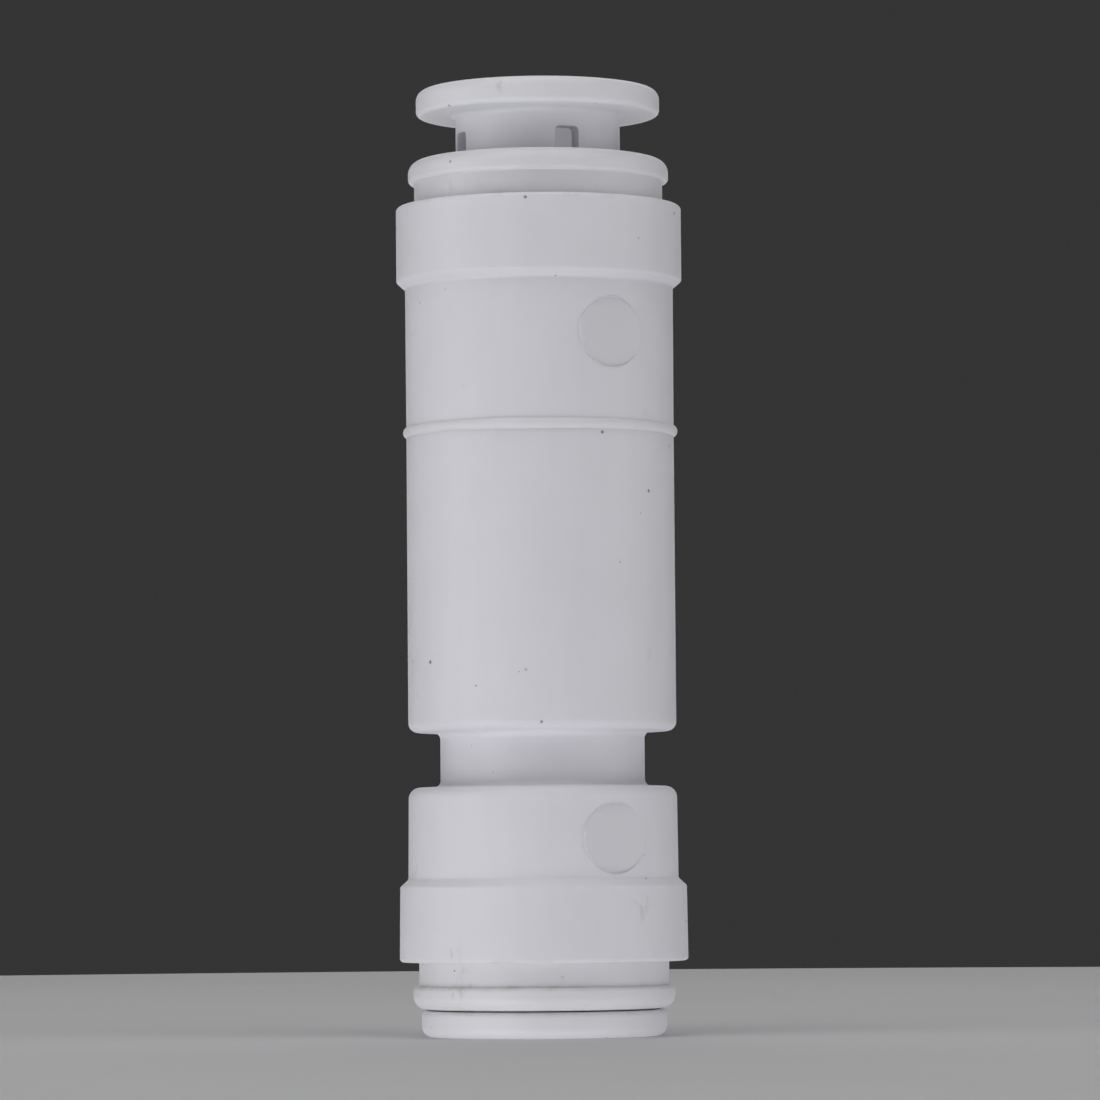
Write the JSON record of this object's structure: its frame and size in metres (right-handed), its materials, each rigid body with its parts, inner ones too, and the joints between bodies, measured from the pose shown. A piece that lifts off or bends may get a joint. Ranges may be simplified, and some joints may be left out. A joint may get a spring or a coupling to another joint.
{
  "type": "push to connect check valve fitting",
  "caption": "In-line push to connect fitting for a plastic tube, with a gripping collet at each end and a spring-loaded check valve between them.",
  "frame": {"origin": "centre of the outer face of the lower collet, which is pressed in, at the bottom of the part", "axes": "+Z along the tube axis, from the inlet port to the outlet port; +X and -Y are directions across the tube, with the blank pads of the mouldings on the side between +X and -Y"},
  "size_m": [0.015, 0.015, 0.0497],
  "materials": {
    "body_plastic": "fine satin, white",
    "cap_plastic": "fine satin, white",
    "collet_plastic": "smooth satin, white",
    "valve_plastic": "smooth, grey",
    "seal_rubber": "smooth, black",
    "tooth_steel": "stamped sheet",
    "spring_steel": "drawn wire"
  },
  "bodies": {
    "housing": {"lower_body": "body_plastic", "upper_body": "body_plastic", "lower_cap": "cap_plastic", "upper_cap": "cap_plastic", "lower_spacer": "cap_plastic", "upper_spacer": "cap_plastic", "lower_o_ring": "seal_rubber", "upper_o_ring": "seal_rubber", "valve_housing": "valve_plastic", "housing_o_ring": "seal_rubber", "valve_spring": "spring_steel", "spring_cage": "valve_plastic"},
    "lower_collet": {"lower_collet": "collet_plastic", "lower_tooth_1": "tooth_steel", "lower_tooth_2": "tooth_steel", "lower_tooth_3": "tooth_steel", "lower_tooth_4": "tooth_steel"},
    "upper_collet": {"upper_collet": "collet_plastic", "upper_tooth_1": "tooth_steel", "upper_tooth_2": "tooth_steel", "upper_tooth_3": "tooth_steel", "upper_tooth_4": "tooth_steel"},
    "poppet": {"poppet": "valve_plastic", "poppet_seal": "seal_rubber"}
  },
  "joints": [
    {"name": "lower_collet_slide", "type": "slide", "parent": "housing", "child": "lower_collet", "axis": [0, 0, -1], "range_m": [0, 0.0023]},
    {"name": "upper_collet_slide", "type": "slide", "parent": "housing", "child": "upper_collet", "axis": [0, 0, 1], "range_m": [-0.0023, 0]},
    {"name": "poppet_slide", "type": "slide", "parent": "housing", "child": "poppet", "axis": [0, 0, 1], "range_m": [0, 0.0018], "stiffness_N_per_m": 120, "springref_m": -0.002, "deforming": ["valve_spring"]}
  ]
}
